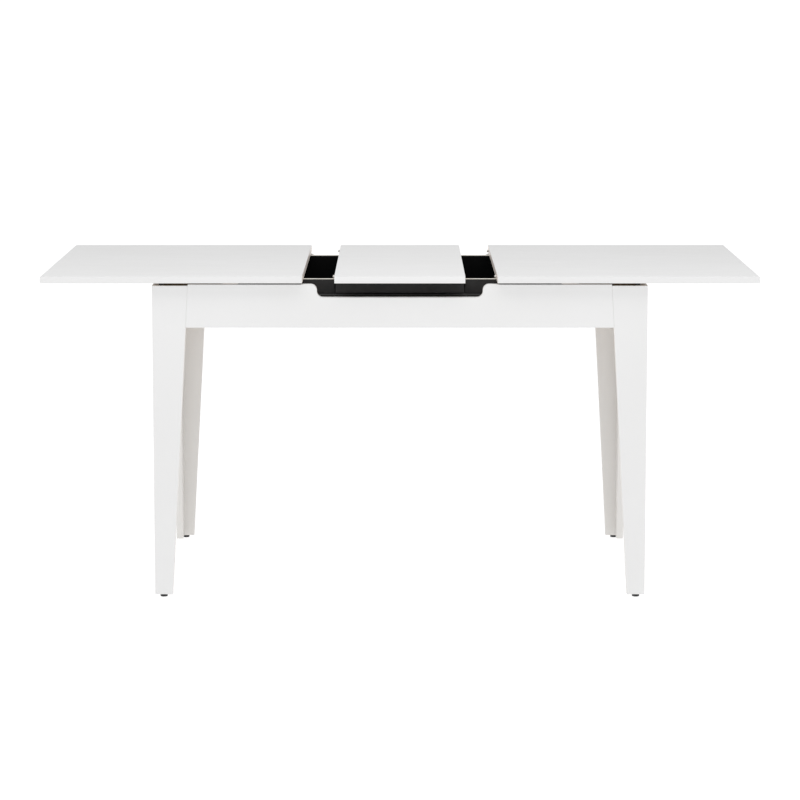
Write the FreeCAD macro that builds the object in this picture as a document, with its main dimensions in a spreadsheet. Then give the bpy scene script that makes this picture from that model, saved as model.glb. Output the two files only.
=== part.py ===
import FreeCAD, Part
import Sketcher
import math
import os

# Extendable dining table: a fixed frame on tapered two-board legs, a black
# well under the middle of the top, two sliding half tops, and a centre leaf
# that drops into the well.
#
# Frame of the model: origin on the floor under the middle of the table,
# X along the table's length, front towards -Y, +Z up, millimetres.
# Drawn with the half tops at their outer stops and the leaf raised.

os.makedirs("parts", exist_ok=True)

doc = FreeCAD.newDocument("extendable_dining_table")
sheet = doc.addObject("Spreadsheet::Sheet", "dims")

CELLS = [
    # top
    ("table_height", 750.0),
    ("top_depth", 800.0),
    ("half_length", 600.0),
    ("leaf_length", 300.0),
    ("top_thick", 16.0),
    ("half_gap", 224.0),        # inner edge of a half top to the middle, drawn pose
    ("top_round", 2.5),
    ("top_under_round", 1.0),
    # frame
    ("frame_half_x", 569.0),    # outer face of the legs
    ("frame_half_y", 384.0),
    ("face_thick", 18.0),
    ("side_thick", 16.0),
    ("leg_foot_z", 6.0),
    ("leg_top_z", 727.0),
    ("face_top_w", 82.0),
    ("face_foot_w", 41.0),
    ("side_top_w", 108.0),
    ("side_foot_w", 67.0),
    ("apron_top_z", 730.0),
    ("apron_low_z", 630.0),
    ("edge_round", 0.8),
    # cut-out of the long aprons
    ("cut_half_w", 190.5),
    ("rear_cut_half_w", 213.0),
    ("cut_floor_z", 700.0),
    ("cut_round", 14.0),
    # glides
    ("glide_rad", 8.5),
    ("glide_x", 549.0),
    ("glide_y", 375.0),
    ("nail_rad", 1.5),
    ("nail_deep", 18.0),
    # joint plates and screws
    ("plate_len", 84.0),
    ("plate_high", 22.0),
    ("plate_thick", 2.5),
    ("plate_z", 647.0),
    ("screw_rad", 2.0),
    ("screw_head", 4.0),
    ("screw_deep", 11.0),
    ("screw_near", 14.0),
    ("screw_far", 32.0),
    # well
    ("well_half_x", 375.0),
    ("well_half_y", 300.0),
    ("well_wall", 18.0),
    ("well_floor_z", 658.0),
    ("well_floor_t", 6.0),
    ("well_top_z", 733.7),
    ("notch_half_w", 152.0),
    ("notch_z", 700.0),
    ("rest_reach", 40.0),
    ("rest_thick", 4.0),
    ("rest_flange", 3.0),
    ("rest_half_x", 188.0),
    ("rest_flange_z", 672.0),
    # wooden slides
    ("slide_low_z", 662.0),
    ("slide_top_z", 694.0),
    ("slide_gap", 0.2),
    ("guide_depth", 16.0),
    ("guide_half_x", 549.0),
    ("runner_depth", 22.0),
    ("batten_depth", 19.8),
    ("tongue_len", 8.0),
    ("tongue_low_z", 670.0),
    ("tongue_top_z", 686.0),
    ("runner_out_x", 546.0),
    ("runner_in_x", 200.0),
    ("batten_out_x", 545.0),
    ("batten_in_x", 230.0),
    ("hanger_in_x", 415.0),
    # end stops of the slides
    ("stop_in_x", 546.2),
    ("stop_cap_x", 543.0),
    ("stop_in_y", 330.0),
    ("stop_side_gap", 0.1),
    ("stop_low_z", 664.0),
    ("stop_top_z", 733.0),
    ("stop_lift", 0.3),
    # cross pieces
    ("bar_low_z", 644.0),
    ("bar_in_x", 528.0),
    ("rail_low_z", 631.0),
    ("rail_out_x", 372.0),
    ("rail_in_x", 340.0),
    ("rail_notch_half_y", 52.0),
    ("rail_notch_z", 643.8),
    # rack and pinion that keep the two halves in step
    ("gear_mod", 2.0),
    ("gear_teeth", 30.0),
    ("gear_low_z", 644.0),
    ("gear_thick", 10.0),
    ("gear_bore", 5.05),
    ("axle_rad", 5.0),
    ("axle_head", 9.0),
    ("axle_head_t", 4.5),
    ("backlash", 0.12),
    ("rack_back", 12.0),
    ("rack_gaps", 29.0),
    ("rack_past", 18.5),
    # rails under the leaf, in line with the walls of the well
    ("leaf_rail_half_x", 149.0),
    ("leaf_rail_low_z", 701.5),
    ("leaf_rail_gap", 0.3),
    # leaf posts and their bushes
    ("post_x", 100.0),
    ("post_y", 200.0),
    ("post_rad", 8.0),
    ("post_low_z", 668.0),
    ("post_flange_rad", 20.0),
    ("post_flange_t", 3.0),
    ("bush_rad", 12.0),
    ("bush_bore", 8.06),
    ("bush_low_z", 651.0),
    ("bush_top_z", 697.0),
    # dowels between the panels
    ("dowel_rad", 3.0),
    ("dowel_y", 318.0),
    ("dowel_out", 5.0),
    ("dowel_in", 16.0),
    ("dowel_seat_gap", 0.05),
    ("dowel_hole_gap", 0.10),
    ("dowel_hole_deep", 7.0),
]
V = {}
for row, (alias, value) in enumerate(CELLS, start=1):
    sheet.set("A%d" % row, alias)
    sheet.set("B%d" % row, repr(value))
    sheet.setAlias("B%d" % row, alias)
    V[alias] = value
doc.recompute()


class Dim:
    """A number that also knows the spreadsheet expression it came from."""

    def __init__(self, text, value):
        self.text = text
        self.value = float(value)

    def __add__(self, other):
        o = dim(other)
        return Dim("(%s + %s)" % (self.text, o.text), self.value + o.value)

    __radd__ = __add__

    def __sub__(self, other):
        o = dim(other)
        return Dim("(%s - %s)" % (self.text, o.text), self.value - o.value)

    def __rsub__(self, other):
        return dim(other) - self

    def __mul__(self, other):
        o = dim(other)
        return Dim("(%s * %s)" % (self.text, o.text), self.value * o.value)

    __rmul__ = __mul__

    def __truediv__(self, other):
        o = dim(other)
        return Dim("(%s / %s)" % (self.text, o.text), self.value / o.value)

    def __neg__(self):
        return Dim("(0 - %s)" % self.text, -self.value)


def dim(x):
    if isinstance(x, Dim):
        return x
    return Dim("%.6f" % float(x), float(x))


def D(alias):
    return Dim("dims." + alias, V[alias])


NODES = []


def finish(obj, label):
    obj.Label = label
    NODES.append((obj, label))
    return obj


def plane(body, role):
    for feature in body.Origin.OriginFeatures:
        if feature.Role == role:
            return feature
    raise RuntimeError("no plane " + role)


def new_sketch(body, name, role, offset):
    sk = body.newObject("Sketcher::SketchObject", name)
    sk.AttachmentSupport = [(plane(body, role), "")]
    sk.MapMode = "FlatFace"
    off = dim(offset)
    sk.AttachmentOffset = FreeCAD.Placement(
        FreeCAD.Vector(0, 0, off.value), FreeCAD.Rotation())
    sk.setExpression("AttachmentOffset.Base.z", off.text)
    return sk


def set_point(sk, geo, pos, tag, x, y):
    """Hold one end of a line at (x, y), bound to the sheet."""
    for kind, axis, letter, d in (("DistanceX", -2, "x", dim(x)),
                                  ("DistanceY", -1, "y", dim(y))):
        if abs(d.value) < 1e-9:
            sk.addConstraint(Sketcher.Constraint("PointOnObject", geo, pos, axis))
            continue
        k = sk.addConstraint(Sketcher.Constraint(kind, geo, pos, d.value))
        name = "%s%s" % (letter, tag)
        sk.renameConstraint(k, name)
        sk.setExpression("Constraints." + name, d.text)


def polygon(sk, points, tag="p"):
    """Closed outline through the points, every corner held."""
    pts = [(dim(a), dim(b)) for a, b in points]
    n = len(pts)
    base = sk.GeometryCount
    for i in range(n):
        a, b = pts[i], pts[(i + 1) % n]
        sk.addGeometry(Part.LineSegment(
            FreeCAD.Vector(a[0].value, a[1].value, 0),
            FreeCAD.Vector(b[0].value, b[1].value, 0)), False)
    for i in range(n):
        j = (i + 1) % n
        sk.addConstraint(Sketcher.Constraint("Coincident", base + i, 2, base + j, 1))
    for i in range(n):
        set_point(sk, base + i, 1, "%s%d" % (tag, i), pts[i][0], pts[i][1])


def circle(sk, x, y, radius, tag):
    dx, dy, dr = dim(x), dim(y), dim(radius)
    g = sk.addGeometry(Part.Circle(FreeCAD.Vector(dx.value, dy.value, 0),
                                   FreeCAD.Vector(0, 0, 1), dr.value), False)
    set_point(sk, g, 3, tag, dx, dy)
    k = sk.addConstraint(Sketcher.Constraint("Radius", g, dr.value))
    sk.renameConstraint(k, "r" + tag)
    sk.setExpression("Constraints.r" + tag, dr.text)


def pad(body, name, sk, length, reverse=False):
    p = body.newObject("PartDesign::Pad", name)
    p.Profile = sk
    L = dim(length)
    p.Length = L.value
    p.setExpression("Length", L.text)
    p.Reversed = reverse
    return p


def pocket(body, name, sk, length, reverse=False):
    """Cut, and make sure that it really took material away."""
    doc.recompute()
    before = body.Shape.Volume
    p = body.newObject("PartDesign::Pocket", name)
    p.Profile = sk
    L = dim(length)
    p.Length = L.value
    p.setExpression("Length", L.text)
    p.Reversed = reverse
    doc.recompute()
    if not body.Shape.Volume < before - 1e-3:
        raise RuntimeError("%s cuts nothing" % name)
    return p


def round_edges(body, name, radius, test):
    """Fillet the edges of the tip that pass the test."""
    doc.recompute()
    tip = body.Tip
    picked = []
    for i, e in enumerate(tip.Shape.Edges, start=1):
        bb = e.BoundBox
        if test(bb):
            picked.append("Edge%d" % i)
    if not picked:
        raise RuntimeError("no edges for " + name)
    f = body.newObject("PartDesign::Fillet", name)
    f.Base = (tip, picked)
    r = dim(radius)
    f.Radius = r.value
    f.setExpression("Radius", r.text)
    doc.recompute()
    return f


def new_body(name):
    return doc.addObject("PartDesign::Body", name)


def block(name, x0, x1, y0, y1, z0, z1):
    """A plain rectangular piece as a body, drawn on XY and padded up."""
    body = new_body(name)
    sk = new_sketch(body, name + "_plan", "XY_Plane", z0)
    polygon(sk, [(x0, y0), (x1, y0), (x1, y1), (x0, y1)])
    pad(body, name + "_pad", sk, dim(z1) - dim(z0))
    return body


def near(a, b, tol=0.05):
    return abs(a - b) < tol


# ---------------------------------------------------------------- top panels
top_z0 = D("table_height") - D("top_thick")
half_y = D("top_depth") / 2
dowel_z = D("table_height") - D("top_thick") / 2


def round_panel(body, name, ends_sharp):
    """Round the long front and back edges, and the outer end if there is one."""
    zt, zb = V["table_height"], V["table_height"] - V["top_thick"]
    hy = V["top_depth"] / 2

    def outer(bb, z):
        if not (near(bb.ZMin, z) and near(bb.ZMax, z)):
            return False
        if near(bb.YMin, bb.YMax) and near(abs(bb.YMin), hy):
            return True
        return near(bb.XMin, bb.XMax) and not any(near(bb.XMin, s) for s in ends_sharp)

    round_edges(body, name + "_upper", D("top_round"), lambda bb: outer(bb, zt))
    round_edges(body, name + "_lower", D("top_under_round"), lambda bb: outer(bb, zb))


def edge_holes(body, name, x_face, into_plus_x, radius, deep):
    """Two blind dowel holes in an end face."""
    sk = new_sketch(body, name + "_centres", "YZ_Plane", x_face)
    circle(sk, -D("dowel_y"), dowel_z, radius, "a")
    circle(sk, D("dowel_y"), dowel_z, radius, "b")
    # A pocket runs against the plane's normal, so it is reversed to run along +X.
    return pocket(body, name, sk, deep, reverse=into_plus_x)


for side, s in (("left", -1), ("right", 1)):
    body = block(side + "_half_top",
                 s * D("half_gap"), s * (D("half_gap") + D("half_length")),
                 -half_y, half_y, top_z0, D("table_height"))
    doc.recompute()
    round_panel(body, side + "_half_round", [s * V["half_gap"]])
    if s < 0:
        edge_holes(body, "left_half_dowel_holes", -D("half_gap"), False,
                   D("dowel_rad") + D("dowel_hole_gap"), D("dowel_hole_deep"))
    else:
        edge_holes(body, "right_half_dowel_seats", D("half_gap"), True,
                   D("dowel_rad") + D("dowel_seat_gap"), D("dowel_in"))
    finish(body, side + "_half_top")

half_leaf = D("leaf_length") / 2
leaf = block("leaf_panel", -half_leaf, half_leaf, -half_y, half_y, top_z0,
             D("table_height"))
doc.recompute()
round_panel(leaf, "leaf_round", [-V["leaf_length"] / 2, V["leaf_length"] / 2])
edge_holes(leaf, "leaf_dowel_holes", half_leaf, False,
           D("dowel_rad") + D("dowel_hole_gap"), D("dowel_hole_deep"))
edge_holes(leaf, "leaf_dowel_seats", -half_leaf, True,
           D("dowel_rad") + D("dowel_seat_gap"), D("dowel_in"))
finish(leaf, "leaf_panel")


# ------------------------------------------------------------ group of solids
def place(obj, x, y, z, rot=None):
    dx, dy, dz = dim(x), dim(y), dim(z)
    obj.Placement = FreeCAD.Placement(
        FreeCAD.Vector(dx.value, dy.value, dz.value), rot or FreeCAD.Rotation())
    obj.setExpression("Placement.Base.x", dx.text)
    obj.setExpression("Placement.Base.y", dy.text)
    obj.setExpression("Placement.Base.z", dz.text)


ROT = {
    "+Z": FreeCAD.Rotation(),
    "-Z": FreeCAD.Rotation(FreeCAD.Vector(1, 0, 0), 180),
    "+X": FreeCAD.Rotation(FreeCAD.Vector(0, 1, 0), 90),
    "-X": FreeCAD.Rotation(FreeCAD.Vector(0, 1, 0), -90),
    "+Y": FreeCAD.Rotation(FreeCAD.Vector(1, 0, 0), -90),
    "-Y": FreeCAD.Rotation(FreeCAD.Vector(1, 0, 0), 90),
}


def cyl(name, radius, height, x, y, z, way="+Z"):
    c = doc.addObject("Part::Cylinder", name)
    r, h = dim(radius), dim(height)
    c.Radius = r.value
    c.Height = h.value
    c.setExpression("Radius", r.text)
    c.setExpression("Height", h.text)
    place(c, x, y, z, ROT[way])
    return c


def fuse(name, *shapes):
    f = doc.addObject("Part::MultiFuse", name)
    f.Shapes = list(shapes)
    return f


def cut(name, base, tool):
    c = doc.addObject("Part::Cut", name)
    c.Base = base
    c.Tool = tool
    return c


def group(label, items):
    g = doc.addObject("Part::Compound", label)
    g.Links = items
    return finish(g, label)


def round_part(name, base, radius, test):
    """Fillet on a Part solid, on the edges that pass the test."""
    doc.recompute()
    f = doc.addObject("Part::Fillet", name)
    f.Base = base
    f.Edges = [(i, radius, radius) for i, e in enumerate(base.Shape.Edges, start=1)
               if test(e.BoundBox)]
    return f


def dowel(name, x_tip):
    """Beech dowel lying along X with softly rounded ends, tip at x_tip."""
    out = []
    for tag, s in (("front", -1), ("rear", 1)):
        c = cyl("%s_%s_rod" % (name, tag), D("dowel_rad"),
                D("dowel_out") + D("dowel_in") - 0.5,
                x_tip, s * D("dowel_y"), dowel_z, "+X")
        r = round_part("%s_%s" % (name, tag), c, 1.2,
                       lambda bb: near(bb.XMin, bb.XMax))
        out.append(r)
    return out


group("right_half_dowels", dowel("right_half_dowel", D("half_gap") - D("dowel_out")))
group("leaf_dowels", dowel("leaf_dowel", -half_leaf - D("dowel_out")))

# ---------------------------------------------------------------------- legs
fx, fy = D("frame_half_x"), D("frame_half_y")
leg_h = D("leg_top_z") - D("leg_foot_z")


def taper_at(top_w, foot_w, z):
    """Width of a tapered board at height z."""
    return foot_w + (top_w - foot_w) * (dim(z) - D("leg_foot_z")) / leg_h


face_taper_lo = taper_at(D("face_top_w"), D("face_foot_w"), D("apron_low_z"))
face_taper_hi = taper_at(D("face_top_w"), D("face_foot_w"), D("apron_top_z"))
side_taper_lo = taper_at(D("side_top_w"), D("side_foot_w"), D("apron_low_z"))
side_taper_hi = taper_at(D("side_top_w"), D("side_foot_w"), D("apron_top_z"))


def xz_front(sy):
    """Offset of an XZ sketch whose pad of the board's thickness runs to -Y:
    the pad starts at the inner face in front and at the outer face behind."""
    return (fy - D("face_thick")) if sy < 0 else -fy


# Where the joint plates sit: across the seam between leg and apron.
face_seam_x = fx - taper_at(D("face_top_w"), D("face_foot_w"), D("plate_z"))
side_seam_y = fy - taper_at(D("side_top_w"), D("side_foot_w"), D("plate_z"))


def pilot_holes(body, name, role, inner, along, along_normal):
    """Pilot holes at the listed places, drilled from the board's inner face."""
    sk = new_sketch(body, name + "_centres", role, inner)
    n = 0
    for a in along:
        circle(sk, a, D("plate_z"), D("screw_rad") + 0.05, "h%d" % n)
        n += 1
    return pocket(body, name, sk, D("screw_deep") + 0.5, reverse=along_normal)


for fr, sy in (("front", -1), ("rear", 1)):
    for side, sx in (("left", -1), ("right", 1)):
        name = "%s_%s_leg_face" % (fr, side)
        body = new_body(name)
        sk = new_sketch(body, name + "_outline", "XZ_Plane", xz_front(sy))
        polygon(sk, [(sx * fx, D("leg_foot_z")),
                     (sx * (fx - D("face_foot_w")), D("leg_foot_z")),
                     (sx * (fx - D("face_top_w")), D("leg_top_z")),
                     (sx * fx, D("leg_top_z"))])
        pad(body, name + "_pad", sk, D("face_thick"))
        # outer vertical corner, inner edge and foot are eased
        out_y = sy * V["frame_half_y"]
        round_edges(body, name + "_ease", D("edge_round"),
                    lambda bb: near(bb.YMin, bb.YMax) and near(bb.YMin, out_y)
                    and bb.ZMax - bb.ZMin > 100)
        # the seam holes
        nail = new_sketch(body, name + "_nail", "XY_Plane", D("leg_foot_z"))
        circle(nail, sx * D("glide_x"), sy * D("glide_y"), D("nail_rad") + 0.05, "n")
        pocket(body, name + "_nail_hole", nail, D("nail_deep") + 0.5, reverse=True)
        inner_off = (fy - D("face_thick")) if sy < 0 else -(fy - D("face_thick"))
        pilot_holes(body, name + "_pilots", "XZ_Plane", inner_off,
                    [sx * (face_seam_x + D("screw_near")),
                     sx * (face_seam_x + D("screw_far"))], sy < 0)
        finish(body, name)

        name = "%s_%s_leg_side" % (fr, side)
        body = new_body(name)
        sk = new_sketch(body, name + "_outline", "YZ_Plane",
                        -fx if sx < 0 else fx - D("side_thick"))
        polygon(sk, [(sy * (fy - D("face_thick")), D("leg_foot_z")),
                     (sy * (fy - D("side_foot_w")), D("leg_foot_z")),
                     (sy * (fy - D("side_top_w")), D("leg_top_z")),
                     (sy * (fy - D("face_thick")), D("leg_top_z"))])
        pad(body, name + "_pad", sk, D("side_thick"))
        in_lo = V["frame_half_y"] - V["side_top_w"]
        in_hi = V["frame_half_y"] - V["side_foot_w"]
        round_edges(body, name + "_ease", D("edge_round"),
                    lambda bb: near(bb.XMin, bb.XMax) and bb.ZMax - bb.ZMin > 100
                    and near(min(abs(bb.YMin), abs(bb.YMax)), in_lo, 0.5)
                    and near(max(abs(bb.YMin), abs(bb.YMax)), in_hi, 0.5))
        pilot_holes(body, name + "_pilots", "YZ_Plane",
                    sx * (fx - D("side_thick")),
                    [sy * (side_seam_y + D("screw_near")),
                     sy * (side_seam_y + D("screw_far"))], sx > 0)
        finish(body, name)

# ------------------------------------------------------------------- aprons
for fr, sy in (("front", -1), ("rear", 1)):
    name = fr + "_apron"
    body = new_body(name)
    sk = new_sketch(body, name + "_outline", "XZ_Plane", xz_front(sy))
    xl, xh = fx - face_taper_lo, fx - face_taper_hi
    cw = D("cut_half_w") if sy < 0 else D("rear_cut_half_w")
    polygon(sk, [(-xl, D("apron_low_z")), (xl, D("apron_low_z")),
                 (xh, D("apron_top_z")), (cw, D("apron_top_z")),
                 (cw, D("cut_floor_z")), (-cw, D("cut_floor_z")),
                 (-cw, D("apron_top_z")), (-xh, D("apron_top_z"))])
    pad(body, name + "_pad", sk, D("face_thick"))
    round_edges(body, name + "_cut_corners", D("cut_round"),
                lambda bb: near(bb.XMin, bb.XMax) and near(abs(bb.XMin), cw.value)
                and near(bb.ZMin, bb.ZMax))
    out_y = sy * V["frame_half_y"]
    round_edges(body, name + "_ease", D("edge_round"),
                lambda bb: near(bb.YMin, bb.YMax) and near(bb.YMin, out_y)
                and (bb.XMax - bb.XMin > 1.0)
                and not (near(bb.ZMax - bb.ZMin, 100, 2)))
    inner_off = (fy - D("face_thick")) if sy < 0 else -(fy - D("face_thick"))
    pilot_holes(body, name + "_pilots", "XZ_Plane", inner_off,
                [s * (face_seam_x - D(k)) for s in (-1, 1)
                 for k in ("screw_near", "screw_far")], sy < 0)
    finish(body, name)

for side, sx in (("left", -1), ("right", 1)):
    name = side + "_apron"
    body = new_body(name)
    sk = new_sketch(body, name + "_outline", "YZ_Plane",
                    -fx if sx < 0 else fx - D("side_thick"))
    yl, yh = fy - side_taper_lo, fy - side_taper_hi
    polygon(sk, [(-yl, D("apron_low_z")), (yl, D("apron_low_z")),
                 (yh, D("apron_top_z")), (-yh, D("apron_top_z"))])
    pad(body, name + "_pad", sk, D("side_thick"))
    out_x = sx * V["frame_half_x"]
    round_edges(body, name + "_ease", D("edge_round"),
                lambda bb: near(bb.XMin, bb.XMax) and near(bb.XMin, out_x)
                and near(bb.ZMin, bb.ZMax))
    pilot_holes(body, name + "_pilots", "YZ_Plane",
                sx * (fx - D("side_thick")),
                [s * (side_seam_y - D(k)) for s in (-1, 1)
                 for k in ("screw_near", "screw_far")], sx > 0)
    finish(body, name)

# ------------------------------------------------------------------- glides
glides = []
for fr, sy in (("front", -1), ("rear", 1)):
    for side, sx in (("left", -1), ("right", 1)):
        tag = "%s_%s_glide" % (fr, side)
        disc = cyl(tag + "_disc", D("glide_rad"), D("leg_foot_z"),
                   sx * D("glide_x"), sy * D("glide_y"), 0)
        rim = round_part(tag + "_rim", disc, 1.6,
                         lambda bb: near(bb.ZMin, bb.ZMax) and bb.ZMax < 1.0)
        nail = cyl(tag + "_nail", D("nail_rad"), D("nail_deep"),
                   sx * D("glide_x"), sy * D("glide_y"), D("leg_foot_z"))
        glides.append(fuse(tag, rim, nail))
group("leg_glides", glides)

# ------------------------------------------- joint plates and their screws
face_plates, side_plates, face_screws, side_screws = [], [], [], []
pz0 = D("plate_z") - D("plate_high") / 2
for fr, sy in (("front", -1), ("rear", 1)):
    for side, sx in (("left", -1), ("right", 1)):
        tag = "%s_%s_face_plate" % (fr, side)
        yi = fy - D("face_thick")
        b = doc.addObject("Part::Box", tag + "_bar")
        b.setExpression("Length", D("plate_len").text)
        b.setExpression("Width", D("plate_thick").text)
        b.setExpression("Height", D("plate_high").text)
        place(b, sx * face_seam_x - D("plate_len") / 2,
              -yi if sy < 0 else yi - D("plate_thick"), pz0)
        drills, way = [], ("-Y" if sy < 0 else "+Y")
        for k, off in enumerate((-D("screw_far"), -D("screw_near"),
                                 D("screw_near"), D("screw_far"))):
            x = sx * face_seam_x + off
            y_in = sy * (yi - D("plate_thick"))
            drills.append(cyl("%s_drill%d" % (tag, k), D("screw_rad") + 0.1,
                              D("plate_thick") + 2, x,
                              sy * (yi - D("plate_thick") - 1), D("plate_z"), way))
            head = cyl("%s_head%d" % (tag, k), D("screw_head"), 2.2, x,
                       sy * (yi - D("plate_thick") - 2.2), D("plate_z"), way)
            head = round_part("%s_pan%d" % (tag, k), head, 1.0,
                              lambda bb, q=sy * (yi - D("plate_thick") - 2.2).value:
                              near(bb.YMin, bb.YMax) and near(bb.YMin, q))
            shank = cyl("%s_shank%d" % (tag, k), D("screw_rad"),
                        D("plate_thick") + D("screw_deep"), x, y_in,
                        D("plate_z"), way)
            face_screws.append(fuse("%s_screw%d" % (tag, k), head, shank))
        face_plates.append(cut(tag, b, fuse(tag + "_drills", *drills)))

        tag = "%s_%s_side_plate" % (fr, side)
        xi = fx - D("side_thick")
        b = doc.addObject("Part::Box", tag + "_bar")
        b.setExpression("Length", D("plate_thick").text)
        b.setExpression("Width", D("plate_len").text)
        b.setExpression("Height", D("plate_high").text)
        place(b, -xi if sx < 0 else xi - D("plate_thick"),
              sy * side_seam_y - D("plate_len") / 2, pz0)
        drills, way = [], ("-X" if sx < 0 else "+X")
        for k, off in enumerate((-D("screw_far"), -D("screw_near"),
                                 D("screw_near"), D("screw_far"))):
            y = sy * side_seam_y + off
            drills.append(cyl("%s_drill%d" % (tag, k), D("screw_rad") + 0.1,
                              D("plate_thick") + 2,
                              sx * (xi - D("plate_thick") - 1), y, D("plate_z"), way))
            head = cyl("%s_head%d" % (tag, k), D("screw_head"), 2.2,
                       sx * (xi - D("plate_thick") - 2.2), y, D("plate_z"), way)
            head = round_part("%s_pan%d" % (tag, k), head, 1.0,
                              lambda bb, q=sx * (xi - D("plate_thick") - 2.2).value:
                              near(bb.XMin, bb.XMax) and near(bb.XMin, q))
            shank = cyl("%s_shank%d" % (tag, k), D("screw_rad"),
                        D("plate_thick") + D("screw_deep"),
                        sx * (xi - D("plate_thick")), y, D("plate_z"), way)
            side_screws.append(fuse("%s_screw%d" % (tag, k), head, shank))
        side_plates.append(cut(tag, b, fuse(tag + "_drills", *drills)))
group("face_joint_plates", face_plates)
group("side_joint_plates", side_plates)
group("face_joint_screws", face_screws)
group("side_joint_screws", side_screws)

# --------------------------------------------------------------------- well
wx, wy, wt = D("well_half_x"), D("well_half_y"), D("well_wall")
wall_z0 = D("well_floor_z") + D("well_floor_t")

floor = block("well_floor", -wx, wx, -wy, wy, D("well_floor_z"), wall_z0)
sk = new_sketch(floor, "well_floor_bush_centres", "XY_Plane", wall_z0)
for k, (sx, sy) in enumerate(((-1, -1), (1, -1), (1, 1), (-1, 1))):
    circle(sk, sx * D("post_x"), sy * D("post_y"), D("bush_rad"), "b%d" % k)
pocket(floor, "well_floor_bush_holes", sk, D("well_floor_t") + 1)
finish(floor, "well_floor")

# The long walls stop short of the leaf's own rails, which drop between them.
nw = D("notch_half_w")
for fr, sy in (("front", -1), ("rear", 1)):
    for side, sx in (("left", -1), ("right", 1)):
        name = "well_%s_%s_wall" % (fr, side)
        body = new_body(name)
        sk = new_sketch(body, name + "_outline", "XZ_Plane",
                        (wy - wt) if sy < 0 else -wy)
        polygon(sk, [(sx * wx, wall_z0), (sx * nw, wall_z0),
                     (sx * nw, D("well_top_z")), (sx * wx, D("well_top_z"))])
        pad(body, name + "_pad", sk, wt)
        finish(body, name)

for side, sx in (("left", -1), ("right", 1)):
    x0, x1 = (-wx, -wx + wt) if sx < 0 else (wx - wt, wx)
    finish(block("well_%s_wall" % side, x0, x1, -(wy - wt), wy - wt,
                 wall_z0, D("well_top_z")), "well_%s_wall" % side)

# Ledges outside the well that the lowered leaf comes down on.
for fr, sy in (("front", -1), ("rear", 1)):
    name = fr + "_leaf_ledge"
    body = new_body(name)
    rx = D("rest_half_x")
    sk = new_sketch(body, name + "_section", "YZ_Plane", -rx)
    r_out, r_in = wy + D("rest_reach"), wy
    polygon(sk, [(sy * r_in, D("rest_flange_z")),
                 (sy * (r_in + D("rest_flange")), D("rest_flange_z")),
                 (sy * (r_in + D("rest_flange")), D("notch_z") - D("rest_thick")),
                 (sy * r_out, D("notch_z") - D("rest_thick")),
                 (sy * r_out, D("notch_z")),
                 (sy * r_in, D("notch_z"))])
    pad(body, name + "_pad", sk, rx * 2)
    finish(body, name)

# Rails glued up under the leaf: they close the front and the back of the well
# while the leaf is raised, and go down with it.
for fr, sy in (("front", -1), ("rear", 1)):
    name = "leaf_%s_rail" % fr
    body = new_body(name)
    ry = wy - D("leaf_rail_gap")
    sk = new_sketch(body, name + "_outline", "XZ_Plane",
                    (wy - wt) if sy < 0 else -ry)
    rx = D("leaf_rail_half_x")
    polygon(sk, [(-rx, D("leaf_rail_low_z")), (rx, D("leaf_rail_low_z")),
                 (rx, top_z0), (-rx, top_z0)])
    pad(body, name + "_pad", sk, wt - D("leaf_rail_gap"))
    round_edges(body, name + "_ease", D("edge_round"),
                lambda bb: near(bb.YMin, bb.YMax) and near(bb.ZMin, bb.ZMax)
                and near(bb.ZMin, V["leaf_rail_low_z"]))
    finish(body, name)

# ------------------------------------------------------- fixed guide rails
gz0, gz1 = D("slide_low_z"), D("slide_top_z")
g_back = fy - D("face_thick")                 # apron's inner face
g_face = g_back - D("guide_depth")            # guide's inward face
r_back = g_face - D("slide_gap")              # runner's outward face
r_face = r_back - D("runner_depth")
b_back = r_face - D("slide_gap")              # batten's outward face
b_face = b_back - D("batten_depth")
gap = D("slide_gap")

for fr, sy in (("front", -1), ("rear", 1)):
    name = fr + "_guide_rail"
    body = new_body(name)
    sk = new_sketch(body, name + "_section", "YZ_Plane", -D("guide_half_x"))
    polygon(sk, [(sy * g_back, gz0), (sy * g_face, gz0),
                 (sy * g_face, D("tongue_low_z")),
                 (sy * (g_face + D("tongue_len")), D("tongue_low_z")),
                 (sy * (g_face + D("tongue_len")), D("tongue_top_z")),
                 (sy * g_face, D("tongue_top_z")),
                 (sy * g_face, gz1), (sy * g_back, gz1)])
    pad(body, name + "_pad", sk, D("guide_half_x") * 2)
    finish(body, name)

# Moulded end stops in the four corners: each closes the end of a guide and
# catches its runner when the half is fully out.
def span(low, high, s):
    return (low, high) if s > 0 else (-high, -low)


stops = []
for fr, sy in (("front", -1), ("rear", 1)):
    for side, sx in (("left", -1), ("right", 1)):
        name = "%s_%s_stop" % (side, fr)
        x_out = D("frame_half_x") - D("side_thick")
        y_mid = r_back - D("stop_side_gap")
        catch = block(name + "_catch", *span(D("stop_in_x"), x_out, sx),
                      *span(D("stop_in_y"), y_mid, sy),
                      D("stop_low_z"), D("stop_top_z"))
        cap = block(name + "_cap", *span(D("stop_cap_x"), x_out, sx),
                    *span(y_mid, g_back, sy),
                    gz1 + D("stop_lift"), D("stop_top_z"))
        stops.append(fuse(name, catch, cap))
group("slide_end_stops", stops)

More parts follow.
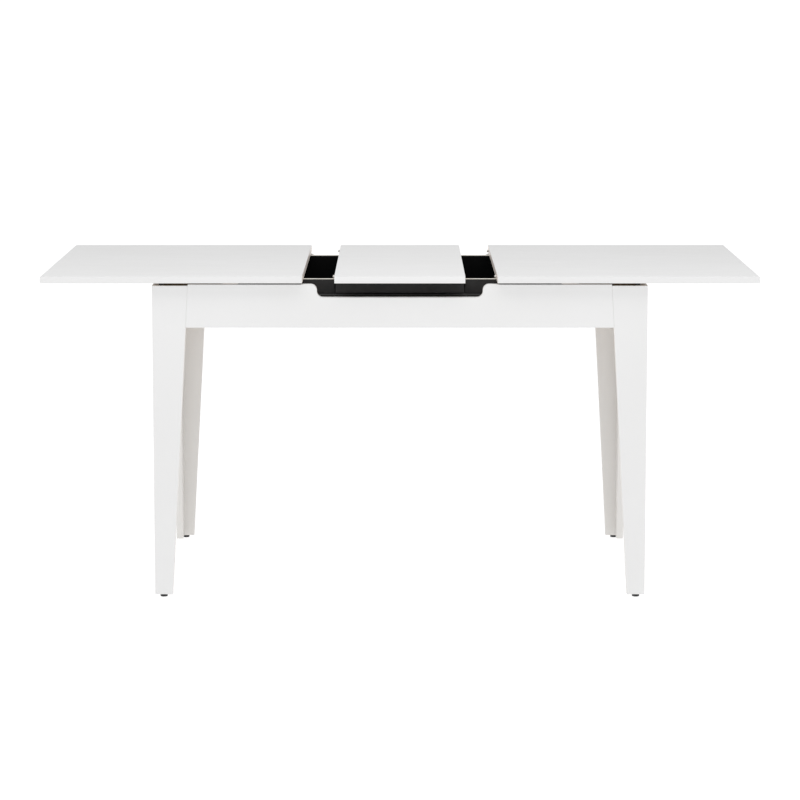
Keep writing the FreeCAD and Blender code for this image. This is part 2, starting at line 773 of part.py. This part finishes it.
# Cross rails that carry the well, notched for the two racks.
for side, sx in (("left", -1), ("right", 1)):
    name = side + "_cross_rail"
    body = new_body(name)
    sk = new_sketch(body, name + "_outline", "YZ_Plane",
                    -D("rail_out_x") if sx < 0 else D("rail_in_x"))
    ry, ny = fy - D("face_thick"), D("rail_notch_half_y")
    polygon(sk, [(-ry, D("rail_low_z")), (ry, D("rail_low_z")),
                 (ry, D("well_floor_z")), (ny, D("well_floor_z")),
                 (ny, D("rail_notch_z")), (-ny, D("rail_notch_z")),
                 (-ny, D("well_floor_z")), (-ry, D("well_floor_z"))])
    pad(body, name + "_pad", sk, D("rail_out_x") - D("rail_in_x"))
    finish(body, name)

# ------------------------------------------------- moving slides and racks
tooth_pitch = math.pi * V["gear_mod"]
pitch_rad = D("gear_mod") * D("gear_teeth") / 2
PA = math.radians(20.0)

for side, sx in (("left", -1), ("right", 1)):
    for fr, sy in (("front", -1), ("rear", 1)):
        # runner: tongue outwards into the guide, groove inwards for the batten
        name = "%s_%s_runner" % (side, fr)
        body = new_body(name)
        x0 = -D("runner_out_x") if sx < 0 else D("runner_in_x")
        sk = new_sketch(body, name + "_section", "YZ_Plane", x0)
        tl = D("tongue_len")
        polygon(sk, [(sy * r_face, gz0), (sy * r_back, gz0),
                     (sy * r_back, D("tongue_low_z") + gap),
                     (sy * (r_back + tl), D("tongue_low_z") + gap),
                     (sy * (r_back + tl), D("tongue_top_z") - gap),
                     (sy * r_back, D("tongue_top_z") - gap),
                     (sy * r_back, gz1), (sy * r_face, gz1),
                     (sy * r_face, D("tongue_top_z")),
                     (sy * (r_face + tl), D("tongue_top_z")),
                     (sy * (r_face + tl), D("tongue_low_z")),
                     (sy * r_face, D("tongue_low_z"))])
        pad(body, name + "_pad", sk, D("runner_out_x") - D("runner_in_x"))
        finish(body, name)

        # batten: screwed up under the half top, tongue into the runner
        name = "%s_%s_batten" % (side, fr)
        body = new_body(name)
        x0 = -D("batten_out_x") if sx < 0 else D("batten_in_x")
        sk = new_sketch(body, name + "_section", "YZ_Plane", x0)
        lift = gz0 + 0.3
        polygon(sk, [(sy * b_face, lift), (sy * b_back, lift),
                     (sy * b_back, D("tongue_low_z") + gap),
                     (sy * (b_back + tl), D("tongue_low_z") + gap),
                     (sy * (b_back + tl), D("tongue_top_z") - gap),
                     (sy * b_back, D("tongue_top_z") - gap),
                     (sy * b_back, top_z0), (sy * b_face, top_z0)])
        pad(body, name + "_pad", sk, D("batten_out_x") - D("batten_in_x"))
        # the hanger part is cut away towards the middle, so that it stays
        # clear of the lowered leaf
        clip = new_sketch(body, name + "_clip_outline", "XZ_Plane",
                          b_back + 1 if sy < 0 else -(b_face - 1))
        polygon(clip, [(sx * D("hanger_in_x"), gz1),
                       (sx * (D("batten_in_x") - 1), gz1),
                       (sx * (D("batten_in_x") - 1), top_z0 + 1),
                       (sx * D("hanger_in_x"), top_z0 + 1)])
        # from just outside the batten inwards: +Y in front, +Y behind
        pocket(body, name + "_clip", clip, D("batten_depth") + 2, reverse=False)
        finish(body, name)

    # cross bar tying the two runners of one side, with the rack on it
    x0, x1 = ((-D("runner_out_x"), -D("bar_in_x")) if sx < 0
              else (D("bar_in_x"), D("runner_out_x")))
    finish(block(side + "_cross_bar", x0, x1, -r_back, r_back,
                 D("bar_low_z"), gz0), side + "_cross_bar")

    name = side + "_rack"
    body = new_body(name)
    sy = sx                                   # left rack in front, right behind
    tip_y = pitch_rad - D("gear_mod")
    root_y = pitch_rad + D("gear_mod") * 1.25
    back_y = root_y + D("rack_back")
    sk = new_sketch(body, name + "_plan", "XY_Plane", D("gear_low_z"))
    polygon(sk, [(sx * D("bar_in_x"), sy * tip_y), (sx * D("bar_in_x"), sy * back_y),
                 (-sx * D("rack_past"), sy * back_y),
                 (-sx * D("rack_past"), sy * tip_y)])
    pad(body, name + "_pad", sk, D("gear_thick"))
    # first gap two and a half pitches past the middle, so a tooth stands at x = 0
    g0 = -sx * tooth_pitch * 2.5
    add, ded = V["gear_mod"], V["gear_mod"] * 1.25
    half_p = tooth_pitch / 4 + V["backlash"]
    w_tip = half_p + (add + 0.5) * math.tan(PA)
    w_root = half_p - ded * math.tan(PA)
    gsk = new_sketch(body, name + "_gap_outline", "XY_Plane",
                     D("gear_low_z") + D("gear_thick"))
    polygon(gsk, [(g0 - w_root, sy * root_y), (g0 + w_root, sy * root_y),
                  (g0 + w_tip, sy * (tip_y - 0.5)), (g0 - w_tip, sy * (tip_y - 0.5))])
    gp = pocket(body, name + "_gap", gsk, D("gear_thick"))
    lp = body.newObject("PartDesign::LinearPattern", name + "_gaps")
    lp.Originals = [gp]
    lp.Direction = (gsk, ["H_Axis"])
    n_gaps = int(V["rack_gaps"])
    lp.Length = tooth_pitch * (n_gaps - 1)
    lp.Occurrences = n_gaps
    lp.setExpression("Occurrences", "dims.rack_gaps")
    lp.setExpression("Length", "pi * dims.gear_mod * (dims.rack_gaps - 1)")
    lp.Reversed = sx < 0
    body.Tip = lp
    doc.recompute()
    finish(body, name)

# ------------------------------------------------------------------- pinion
pinion = new_body("sync_pinion")
sk = new_sketch(pinion, "sync_pinion_blank", "XY_Plane", D("gear_low_z"))
circle(sk, 0, 0, pitch_rad + D("gear_mod"), "blank")
circle(sk, 0, 0, D("gear_bore"), "bore")
pad(pinion, "sync_pinion_pad", sk, D("gear_thick"))
R = pitch_rad.value
RB = R * math.cos(PA)
inv = lambda a: math.tan(a) - a


def gap_half(r):
    """Half width of a tooth gap at radius r: an involute flank."""
    a = math.acos(min(1.0, RB / r))
    psi = math.pi / (2 * V["gear_teeth"]) + inv(a) - inv(PA)
    return r * math.sin(psi) + V["backlash"], r * math.cos(psi)


flank = [(gap_half(RB)[0] - 0.03, R - 1.25 * V["gear_mod"])]
for k in range(9):
    rr = RB + (R + V["gear_mod"] + 0.6 - RB) * k / 8.0
    flank.append(gap_half(rr))
outline = [(w, y) for w, y in flank] + [(-w, y) for w, y in reversed(flank)]
sk = new_sketch(pinion, "sync_pinion_gap_outline", "XY_Plane",
                D("gear_low_z") + D("gear_thick"))
polygon(sk, outline)
gp = pocket(pinion, "sync_pinion_gap", sk, D("gear_thick"))
pp = pinion.newObject("PartDesign::PolarPattern", "sync_pinion_gaps")
pp.Originals = [gp]
pp.Axis = (sk, ["N_Axis"])
pp.Angle = 360
pp.Occurrences = int(V["gear_teeth"])
pp.setExpression("Occurrences", "dims.gear_teeth")
pinion.Tip = pp
doc.recompute()
finish(pinion, "sync_pinion")

# Shoulder bolt under the well floor that the pinion turns on.
shank = cyl("pinion_axle_shank", D("axle_rad"),
            D("well_floor_z") - D("gear_low_z") + 0.3, 0, 0, D("gear_low_z") - 0.3)
collar = cyl("pinion_axle_collar", D("axle_head"),
             D("well_floor_z") - D("gear_low_z") - D("gear_thick") - 0.3, 0, 0,
             D("gear_low_z") + D("gear_thick") + 0.3)
head = cyl("pinion_axle_head", D("axle_head"), D("axle_head_t"), 0, 0,
           D("gear_low_z") - 0.3 - D("axle_head_t"))
finish(fuse("pinion_axle", shank, collar, head), "pinion_axle")

# ------------------------------------------------- leaf posts and bushes
posts, bushes = [], []
for fr, sy in (("front", -1), ("rear", 1)):
    for side, sx in (("left", -1), ("right", 1)):
        tag = "%s_%s" % (fr, side)
        px, py = sx * D("post_x"), sy * D("post_y")
        rod = cyl(tag + "_post_rod", D("post_rad"), top_z0 - D("post_low_z"),
                  px, py, D("post_low_z"))
        plate = cyl(tag + "_post_plate", D("post_flange_rad"), D("post_flange_t"),
                    px, py, top_z0 - D("post_flange_t"))
        posts.append(fuse(tag + "_post", rod, plate))
        tube = cyl(tag + "_bush_tube", D("bush_rad"),
                   D("bush_top_z") - D("bush_low_z"), px, py, D("bush_low_z"))
        collar = cyl(tag + "_bush_collar", D("bush_rad") + 5, 3, px, py, wall_z0)
        bore = cyl(tag + "_bush_bore", D("bush_bore"),
                   D("bush_top_z") - D("bush_low_z") + 4, px, py,
                   D("bush_low_z") - 2)
        bushes.append(cut(tag + "_bush", fuse(tag + "_bush_body", tube, collar), bore))
group("leaf_posts", posts)
group("post_bushes", bushes)

# -------------------------------------------------------------- verify, write
doc.recompute()
bad = []
for obj in doc.Objects:
    state = [str(s) for s in obj.State]
    if "Invalid" in state or "Error" in state:
        bad.append("%s %s" % (obj.Name, state))
for obj, label in NODES:
    shape = obj.Shape
    if shape.isNull() or not shape.isValid() or not shape.Solids:
        bad.append("%s has no valid solid" % label)
if bad:
    raise RuntimeError("; ".join(bad))
for obj, label in NODES:
    obj.Shape.exportStep("parts/%s.step" % label)
    print("%-28s solids %2d  volume %12.1f" % (label, len(obj.Shape.Solids),
                                               obj.Shape.Volume))
print(len(NODES), "nodes")
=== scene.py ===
import math

import bpy
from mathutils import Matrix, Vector

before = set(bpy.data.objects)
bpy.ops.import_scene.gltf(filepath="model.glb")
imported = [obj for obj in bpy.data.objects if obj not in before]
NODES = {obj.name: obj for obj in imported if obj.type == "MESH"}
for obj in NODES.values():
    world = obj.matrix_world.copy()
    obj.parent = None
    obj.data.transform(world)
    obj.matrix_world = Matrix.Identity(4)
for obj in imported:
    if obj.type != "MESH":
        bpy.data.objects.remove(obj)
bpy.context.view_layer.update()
scene = bpy.context.scene
scene.view_settings.view_transform = "Standard"
scene.view_settings.look = "None"
scene.view_settings.exposure = 0.0
scene.view_settings.gamma = 1.0


# ------------------------------------------------------------------ camera
cam_data = bpy.data.cameras.new("photo_camera")
cam_data.sensor_fit = "HORIZONTAL"
cam_data.sensor_width = 36.0
cam_data.lens = 138.88
cam_data.clip_start, cam_data.clip_end = 0.1, 1200.0
cam = bpy.data.objects.new("photo_camera", cam_data)
scene.collection.objects.link(cam)
cam.location = (0.0004, -7.4296, 1.4601)
cam.rotation_euler = (math.radians(90.0 - 8.06), 0.0, 0.0)
scene.camera = cam


# ------------------------------------------------------------- node helper
class Graph:
    """Small helper to write a material's node tree."""

    def __init__(self, name):
        self.mat = bpy.data.materials.new(name)
        self.mat.use_nodes = True
        self.nt = self.mat.node_tree
        self.nt.nodes.clear()
        self.out = self.add("ShaderNodeOutputMaterial")
        self.bsdf = self.add("ShaderNodeBsdfPrincipled")
        self.nt.links.new(self.bsdf.outputs["BSDF"], self.out.inputs["Surface"])
        tc = self.add("ShaderNodeTexCoord")
        self.obj = tc.outputs["Object"]
        self.normal = tc.outputs["Normal"]
        sep = self.add("ShaderNodeSeparateXYZ")
        self.link(self.obj, sep.inputs[0])
        self.x, self.y, self.z = sep.outputs
        sepn = self.add("ShaderNodeSeparateXYZ")
        self.link(self.normal, sepn.inputs[0])
        self.nx, self.ny, self.nz = sepn.outputs

    def add(self, kind, **props):
        n = self.nt.nodes.new(kind)
        for k, v in props.items():
            setattr(n, k, v)
        return n

    def link(self, a, b):
        self.nt.links.new(a, b)

    def feed(self, socket, value):
        if isinstance(value, bpy.types.NodeSocket):
            self.link(value, socket)
        else:
            socket.default_value = value

    def math(self, op, a, b=0.0, c=None, clamp=False):
        n = self.add("ShaderNodeMath", operation=op, use_clamp=clamp)
        self.feed(n.inputs[0], a)
        self.feed(n.inputs[1], b)
        if c is not None:
            self.feed(n.inputs[2], c)
        return n.outputs[0]

    def scaled(self, sx, sy, sz, source=None):
        m = self.add("ShaderNodeMapping")
        self.link(source or self.obj, m.inputs["Vector"])
        m.inputs["Scale"].default_value = (sx, sy, sz)
        return m.outputs["Vector"]

    def noise(self, scale, detail=2.0, rough=0.5, vector=None, distortion=0.0):
        n = self.add("ShaderNodeTexNoise")
        self.link(vector or self.obj, n.inputs["Vector"])
        n.inputs["Scale"].default_value = scale
        n.inputs["Detail"].default_value = detail
        n.inputs["Roughness"].default_value = rough
        n.inputs["Distortion"].default_value = distortion
        return n.outputs["Fac"]

    def ramp(self, value, lo, hi, out_lo=0.0, out_hi=1.0, smooth=False):
        n = self.add("ShaderNodeMapRange")
        if smooth:
            n.interpolation_type = "SMOOTHSTEP"
        self.feed(n.inputs["Value"], value)
        n.inputs["From Min"].default_value = lo
        n.inputs["From Max"].default_value = hi
        n.inputs["To Min"].default_value = out_lo
        n.inputs["To Max"].default_value = out_hi
        return n.outputs["Result"]

    def mix(self, fac, a, b):
        n = self.add("ShaderNodeMix", data_type="RGBA")
        self.feed(n.inputs["Factor"], fac)
        self.feed(n.inputs[6], a)
        self.feed(n.inputs[7], b)
        return n.outputs[2]

    def bevel(self, radius, samples=4):
        n = self.add("ShaderNodeBevel", samples=samples)
        n.inputs["Radius"].default_value = radius
        return n.outputs["Normal"]

    def bump(self, height, strength, distance, normal=None):
        n = self.add("ShaderNodeBump")
        n.inputs["Strength"].default_value = strength
        n.inputs["Distance"].default_value = distance
        self.link(height, n.inputs["Height"])
        if normal is not None:
            self.link(normal, n.inputs["Normal"])
        return n.outputs["Normal"]

    def edge_mask(self, radius=0.0022):
        """1 close to a sharp edge, 0 on the flats."""
        b = self.bevel(radius, 4)
        geo = self.add("ShaderNodeNewGeometry")
        d = self.add("ShaderNodeVectorMath", operation="DOT_PRODUCT")
        self.link(b, d.inputs[0])
        self.link(geo.outputs["Normal"], d.inputs[1])
        return self.ramp(d.outputs["Value"], 0.995, 0.90, 0.0, 1.0)


def srgb(r, g, b):
    def lin(c):
        c /= 255.0
        return c / 12.92 if c <= 0.04045 else ((c + 0.055) / 1.055) ** 2.4
    return (lin(r), lin(g), lin(b), 1.0)


# --------------------------------------------------------------- materials
def white_lacquer(name, tone, raw_ends=False, recolour_top_edges=False,
                  inward_painted_shade=False):
    """Satin white lacquer on board: faint orange peel, soft clouding of the
    gloss, a trace of warmth where the paint thins on the arrises."""
    g = Graph(name)
    clouds = g.noise(3.0, 3.0, 0.55)
    patch = g.noise(22.0, 2.0, 0.5)
    base = g.mix(g.ramp(clouds, 0.35, 0.65), tone, tuple(
        [tone[i] * (0.984, 0.983, 0.981)[i] for i in range(3)] + [1.0]))
    edge = g.edge_mask(0.0015)
    speck = g.noise(240.0, 2.0, 0.7)
    wear = g.math("MULTIPLY", edge, g.ramp(speck, 0.45, 0.75, 0.12, 0.55))
    col = g.mix(wear, base, srgb(219, 216, 210))
    if raw_ends:
        # the butt ends that meet when the top is closed show the board's edge
        ax = g.math("ABSOLUTE", g.x)
        an = g.math("ABSOLUTE", g.nx)
        near = g.math("LESS_THAN", ax, 0.30)
        face = g.math("GREATER_THAN", an, 0.80)
        mask = g.math("MULTIPLY", near, face)
        fibre = g.noise(60.0, 6.0, 0.65, g.scaled(1.0, 1.0, 9.0))
        dots = g.noise(900.0, 1.0, 0.5)
        core = g.mix(g.ramp(fibre, 0.35, 0.7), srgb(252, 243, 236), srgb(244, 232, 223))
        core = g.mix(g.ramp(dots, 0.55, 0.75, 0.0, 0.25), core, srgb(222, 204, 190))
        col = g.mix(mask, col, core)
    if inward_painted_shade:
        # the faces turned to the inside of the frame, which lie in shade, are tinted warmer and
        # slightly darker: painted shade
        sx = g.math("MULTIPLY", g.math("SIGN", g.x), g.nx)
        sy = g.math("MULTIPLY", g.math("SIGN", g.y), g.ny)
        inward = g.math("MAXIMUM", g.math("LESS_THAN", sx, -0.6),
                        g.math("LESS_THAN", sy, -0.6))
        painted_shade_tint = tuple([tone[i] * (1.0, 0.982, 0.955)[i] for i in range(3)] + [1.0])
        col = g.mix(inward, col, painted_shade_tint)
    if recolour_top_edges:
        # the upper edges, under a half top, are coloured a darker brownish tone, and near-black in
        # front of the well, where the black is painted shadow
        up = g.math("MULTIPLY", g.math("GREATER_THAN", g.nz, 0.8),
                    g.math("GREATER_THAN", g.z, 0.7262))
        ax = g.math("ABSOLUTE", g.x)
        fibre = g.noise(60.0, 6.0, 0.65, g.scaled(1.0, 6.0, 1.0))
        top_edge_tone_and_shadow = g.mix(g.ramp(fibre, 0.35, 0.7), srgb(206, 192, 178), srgb(176, 160, 144))
        # near-black band in front of the well: painted shadow
        painted_well_shade = g.math("MULTIPLY", g.ramp(ax, 0.2255, 0.2275), g.ramp(ax, 0.376, 0.370))
        top_edge_tone_and_shadow = g.mix(painted_well_shade, top_edge_tone_and_shadow, (0.004, 0.004, 0.004, 1.0))
        away = g.ramp(ax, 0.2225, 0.2255)
        col = g.mix(g.math("MULTIPLY", up, away), col, top_edge_tone_and_shadow)
    g.link(col, g.bsdf.inputs["Base Color"])
    smears = g.noise(7.0, 4.0, 0.6, g.scaled(1.0, 2.4, 1.0), 0.6)
    fine = g.noise(55.0, 3.0, 0.6)
    rough = g.math("ADD", g.ramp(smears, 0.3, 0.7, 0.34, 0.46),
                   g.ramp(fine, 0.3, 0.7, -0.02, 0.03))
    g.link(rough, g.bsdf.inputs["Roughness"])
    g.bsdf.inputs["Specular IOR Level"].default_value = 0.42
    g.bsdf.inputs["Coat Weight"].default_value = 0.08
    g.bsdf.inputs["Coat Roughness"].default_value = 0.22
    peel = g.noise(420.0, 2.0, 0.5)
    micro = g.noise(2600.0, 2.0, 0.6)
    height = g.math("ADD", g.math("MULTIPLY", peel, 1.0), g.math("MULTIPLY", micro, 0.35))
    n = g.bump(height, 0.16, 0.00012, g.bevel(0.0009))
    n = g.bump(patch, 0.05, 0.0004, n)
    g.link(n, g.bsdf.inputs["Normal"])
    return g.mat


def black_board(name, recolour_top_edges=False, painted_light_gain=1.0, ledge_shadow_lines=False):
    """Black painted board, smoother outside; inside the well it is rougher and its colour is made far
    darker than the outside paint, as painted shade of the deep well. The outside tone is lifted by
    painted_light_gain on lighter copies, which is painted light, and the upper rim of the walls is left
    pale."""
    g = Graph(name)
    dust = g.noise(38.0, 5.0, 0.6)
    fleck = g.noise(700.0, 2.0, 0.6)
    # outside tone of the paint; painted_light_gain lightens it on lit copies: painted light
    outer = g.mix(g.ramp(dust, 0.35, 0.7), (0.028 * painted_light_gain, 0.028 * painted_light_gain, 0.0285 * painted_light_gain, 1),
                  (0.038 * painted_light_gain, 0.038 * painted_light_gain, 0.0385 * painted_light_gain, 1))
    # inside the well the black is made far darker than the paint outside: painted shade of the deep
    # well
    painted_well_shade = g.mix(g.ramp(dust, 0.35, 0.7), (0.0011, 0.0011, 0.0012, 1), (0.0024, 0.0024, 0.0025, 1))
    inside = g.math("MULTIPLY",
                    g.math("LESS_THAN", g.math("ABSOLUTE", g.y), 0.2830),
                    g.math("LESS_THAN", g.math("ABSOLUTE", g.x), 0.3578))
    inside = g.math("MULTIPLY", inside, g.math("LESS_THAN", g.z, 0.7320))
    inside = g.math("MULTIPLY", inside, g.math("GREATER_THAN", g.z, 0.6620))
    base = g.mix(inside, outer, painted_well_shade)
    if ledge_shadow_lines:
        # a ledge: painted shadow, near-black, in the joint along the wall, and painted shade on its
        # outer edge; its top is lighter only through painted_light_gain, which is painted light
        ay = g.math("ABSOLUTE", g.y)
        painted_joint_shadow = g.math("LESS_THAN", ay, 0.3040)
        painted_lip_shade = g.math("GREATER_THAN", ay, 0.3390)
        base = g.mix(g.math("MAXIMUM", painted_joint_shadow, painted_lip_shade), base, (0.0016, 0.0016, 0.0016, 1))
    base = g.mix(g.ramp(fleck, 0.66, 0.80, 0.0, 0.10), base, (0.05, 0.05, 0.05, 1))
    edge = g.edge_mask(0.0014)
    rub = g.math("MULTIPLY", edge, g.ramp(fleck, 0.4, 0.7, 0.05, 0.35))
    rub = g.math("MULTIPLY", rub, g.math("SUBTRACT", 1.0, inside))
    base = g.mix(rub, base, (0.075, 0.073, 0.070, 1))
    if recolour_top_edges:
        up = g.math("GREATER_THAN", g.nz, 0.8)
        rim = g.math("GREATER_THAN", g.z, 0.7325)
        mask = g.math("MULTIPLY", up, rim)
        fibre = g.noise(70.0, 5.0, 0.6, g.scaled(1.0, 1.0, 1.0))
        rimcol = g.mix(g.ramp(fibre, 0.35, 0.7), srgb(238, 235, 226), srgb(222, 217, 206))
        base = g.mix(mask, base, rimcol)
    g.link(base, g.bsdf.inputs["Base Color"])
    rough = g.math("ADD", g.ramp(dust, 0.3, 0.7, 0.50, 0.62), g.ramp(fleck, 0.3, 0.7, -0.03, 0.03))
    rough = g.math("ADD", rough, g.math("MULTIPLY", inside, 0.30))
    g.link(rough, g.bsdf.inputs["Roughness"])
    g.bsdf.inputs["Specular IOR Level"].default_value = 0.16
    grainy = g.math("ADD", g.noise(320.0, 3.0, 0.6), g.math("MULTIPLY", g.noise(1800.0, 2.0, 0.6), 0.4))
    n = g.bump(grainy, 0.25, 0.0002, g.bevel(0.0008))
    g.link(n, g.bsdf.inputs["Normal"])
    return g.mat


def beech(name, along="x", pale=1.0):
    """Oiled beech: fine straight grain with the short ray flecks of beech."""
    g = Graph(name)
    k = {"x": (1.0, 14.0, 14.0), "y": (14.0, 1.0, 14.0)}[along]
    f = {"x": (4.0, 60.0, 60.0), "y": (60.0, 4.0, 60.0)}[along]
    v = g.scaled(*k)
    bands = g.noise(7.0, 5.0, 0.6, v, 0.8)
    lines = g.noise(34.0, 4.0, 0.6, v, 0.2)
    flecks = g.noise(12.0, 1.0, 0.5, g.scaled(*f))
    a = tuple(c * pale for c in srgb(214, 178, 138)[:3]) + (1.0,)
    b = tuple(c * pale for c in srgb(186, 146, 104)[:3]) + (1.0,)
    c = g.mix(g.ramp(bands, 0.32, 0.68), a, b)
    c = g.mix(g.ramp(lines, 0.45, 0.72, 0.0, 0.35), c, srgb(160, 118, 80))
    c = g.mix(g.ramp(flecks, 0.64, 0.72, 0.0, 0.45), c, srgb(140, 98, 64))
    edge = g.edge_mask(0.0016)
    c = g.mix(g.math("MULTIPLY", edge, 0.35), c, srgb(226, 198, 164))
    g.link(c, g.bsdf.inputs["Base Color"])
    g.link(g.math("ADD", g.ramp(bands, 0.3, 0.7, 0.42, 0.55), g.ramp(lines, 0.3, 0.7, 0.0, 0.06)),
           g.bsdf.inputs["Roughness"])
    g.bsdf.inputs["Specular IOR Level"].default_value = 0.4
    n = g.bump(g.math("ADD", lines, g.math("MULTIPLY", flecks, 0.4)), 0.35, 0.0003, g.bevel(0.0008))
    g.link(n, g.bsdf.inputs["Normal"])
    return g.mat


def zinc(name):
    """Bright zinc plate: drawn lines, spangle and a little dulling."""
    g = Graph(name)
    g.bsdf.inputs["Metallic"].default_value = 1.0
    spangle = g.noise(160.0, 2.0, 0.5)
    dull = g.noise(30.0, 4.0, 0.6)
    c = g.mix(g.ramp(spangle, 0.35, 0.65), srgb(196, 198, 200), srgb(174, 177, 181))
    c = g.mix(g.ramp(dull, 0.5, 0.75, 0.0, 0.4), c, srgb(150, 149, 142))
    g.link(c, g.bsdf.inputs["Base Color"])
    drawn = g.noise(90.0, 3.0, 0.6, g.scaled(1.0, 12.0, 12.0))
    g.link(g.math("ADD", g.ramp(dull, 0.3, 0.7, 0.26, 0.42), g.ramp(drawn, 0.3, 0.7, -0.03, 0.05)),
           g.bsdf.inputs["Roughness"])
    g.link(g.bump(drawn, 0.2, 0.00015, g.bevel(0.0005)), g.bsdf.inputs["Normal"])
    return g.mat


def nylon(name, tone):
    """Moulded nylon with a fine spark-eroded grain."""
    g = Graph(name)
    grain = g.noise(1500.0, 2.0, 0.7)
    scuff = g.noise(60.0, 4.0, 0.65)
    c = g.mix(g.ramp(scuff, 0.5, 0.8, 0.0, 0.6), tone,
              tuple(t * 2.4 if t < 0.1 else t * 0.86 for t in tone[:3]) + (1.0,))
    g.link(c, g.bsdf.inputs["Base Color"])
    g.link(g.ramp(scuff, 0.3, 0.7, 0.38, 0.55), g.bsdf.inputs["Roughness"])
    g.link(g.bump(grain, 0.3, 0.00012, g.bevel(0.0004)), g.bsdf.inputs["Normal"])
    return g.mat


WHITE_TOP = srgb(232, 232, 232)
WHITE_LEAF = srgb(235, 235, 235)
WHITE = srgb(233, 233, 233)
M_TOP = white_lacquer("white_lacquer_top", WHITE_TOP, raw_ends=True)
M_LEAF = white_lacquer("white_lacquer_leaf", WHITE_LEAF, raw_ends=True)
M_FRAME = white_lacquer("white_lacquer_frame", WHITE, recolour_top_edges=True, inward_painted_shade=True)
M_BLACK = black_board("black_board")
# the ledge, the leaf rails and the wall rims are lighter copies of the same black paint, lifted by
# painted_light_gain to stand in for how light falls on them: painted light
M_LEDGE = black_board("black_board_ledge", painted_light_gain=1.75, ledge_shadow_lines=True)
M_LEAF_RAIL = black_board("black_board_leaf_rail", painted_light_gain=1.95)
M_RIM = black_board("black_board_rim", recolour_top_edges=True, painted_light_gain=1.12)
M_BEECH_X = beech("beech_along_x", "x")
M_BEECH_Y = beech("beech_along_y", "y")
M_DOWEL = nylon("pale_nylon", srgb(216, 214, 210))
M_BLACK_STEEL = nylon("blackened_steel", (0.02, 0.02, 0.021, 1.0))
M_ZINC = zinc("zinc_plate")
M_NYLON = nylon("black_nylon", (0.014, 0.014, 0.015, 1.0))

PICK = {}
for n in NODES:
    if n == "leaf_panel":
        PICK[n] = M_LEAF
    elif n in ("left_half_top", "right_half_top"):
        PICK[n] = M_TOP
    elif n.endswith(("_apron", "_leg_face", "_leg_side")):
        PICK[n] = M_FRAME
    elif n == "well_floor":
        PICK[n] = M_BLACK
    elif n in ("front_leaf_ledge", "rear_leaf_ledge"):
        PICK[n] = M_LEDGE
    elif n in ("leaf_front_rail", "leaf_rear_rail"):
        PICK[n] = M_LEAF_RAIL
    elif n.startswith("well_"):
        PICK[n] = M_RIM
    elif n.endswith(("_cross_bar", "_cross_rail")):
        PICK[n] = M_BEECH_Y
    elif n.endswith("_dowels"):
        PICK[n] = M_DOWEL
    elif n.endswith(("_runner", "_batten", "_guide_rail")):
        PICK[n] = M_BEECH_X
    elif n == "leaf_posts":
        PICK[n] = M_BLACK_STEEL
    elif n in ("leg_glides", "sync_pinion", "left_rack", "right_rack", "post_bushes",
               "slide_end_stops"):
        PICK[n] = M_NYLON
    else:
        PICK[n] = M_ZINC
for n, o in NODES.items():
    o.data.materials.clear()
    o.data.materials.append(PICK[n])


# ------------------------------------------------------------------- stage
def make_floor():
    mesh = bpy.data.meshes.new("studio_floor")
    s = 400.0
    mesh.from_pydata([(-s, -s, 0), (s, -s, 0), (s, s, 0), (-s, s, 0)], [], [(0, 1, 2, 3)])
    floor = bpy.data.objects.new("studio_floor", mesh)
    scene.collection.objects.link(floor)
    g = Graph("studio_floor")
    g.nt.nodes.remove(g.bsdf)
    diff = g.add("ShaderNodeBsdfDiffuse")
    grain = g.noise(6.0, 3.0, 0.5)
    g.link(g.mix(grain, (0.40, 0.40, 0.40, 1), (0.42, 0.42, 0.42, 1)), diff.inputs["Color"])
    glow = g.add("ShaderNodeEmission")
    glow.inputs["Color"].default_value = (1, 1, 1, 1)
    glow.inputs["Strength"].default_value = 0.80
    both = g.add("ShaderNodeAddShader")
    g.link(diff.outputs[0], both.inputs[0])
    g.link(glow.outputs[0], both.inputs[1])
    clear = g.add("ShaderNodeBsdfTransparent")
    geo = g.add("ShaderNodeNewGeometry")
    sw = g.add("ShaderNodeMixShader")
    g.link(geo.outputs["Backfacing"], sw.inputs[0])
    g.link(both.outputs[0], sw.inputs[1])
    g.link(clear.outputs[0], sw.inputs[2])
    g.link(sw.outputs[0], g.out.inputs["Surface"])
    mesh.materials.append(g.mat)
    return floor


make_floor()

world = bpy.data.worlds.new("studio")
world.use_nodes = True
scene.world = world
wt = world.node_tree
bg = wt.nodes["Background"]
bg.inputs["Color"].default_value = (1.0, 1.0, 1.0, 1.0)
# soft dome: brightest low down, a little dimmer overhead
w_tc = wt.nodes.new("ShaderNodeTexCoord")
w_sep = wt.nodes.new("ShaderNodeSeparateXYZ")
w_map = wt.nodes.new("ShaderNodeMapRange")
w_map.inputs["From Min"].default_value = 0.05
w_map.inputs["From Max"].default_value = 1.0
w_map.inputs["To Min"].default_value = 0.82
w_map.inputs["To Max"].default_value = 0.70
wt.links.new(w_tc.outputs["Generated"], w_sep.inputs[0])
wt.links.new(w_sep.outputs["Z"], w_map.inputs["Value"])
wt.links.new(w_map.outputs["Result"], bg.inputs["Strength"])


def area(name, loc, target, size, power, size_y=None, color=(1, 1, 1)):
    data = bpy.data.lights.new(name, "AREA")
    data.shape = "RECTANGLE"
    data.size, data.size_y = size, size_y or size
    data.energy = power
    data.color = color
    o = bpy.data.objects.new(name, data)
    scene.collection.objects.link(o)
    o.location = loc
    o.rotation_euler = (Vector(target) - Vector(loc)).to_track_quat("-Z", "Y").to_euler()
    return o


area("top_soft", (0.0, -1.0, 2.4), (0.0, -0.999, 0.0), 3.6, 16.0, 0.7)
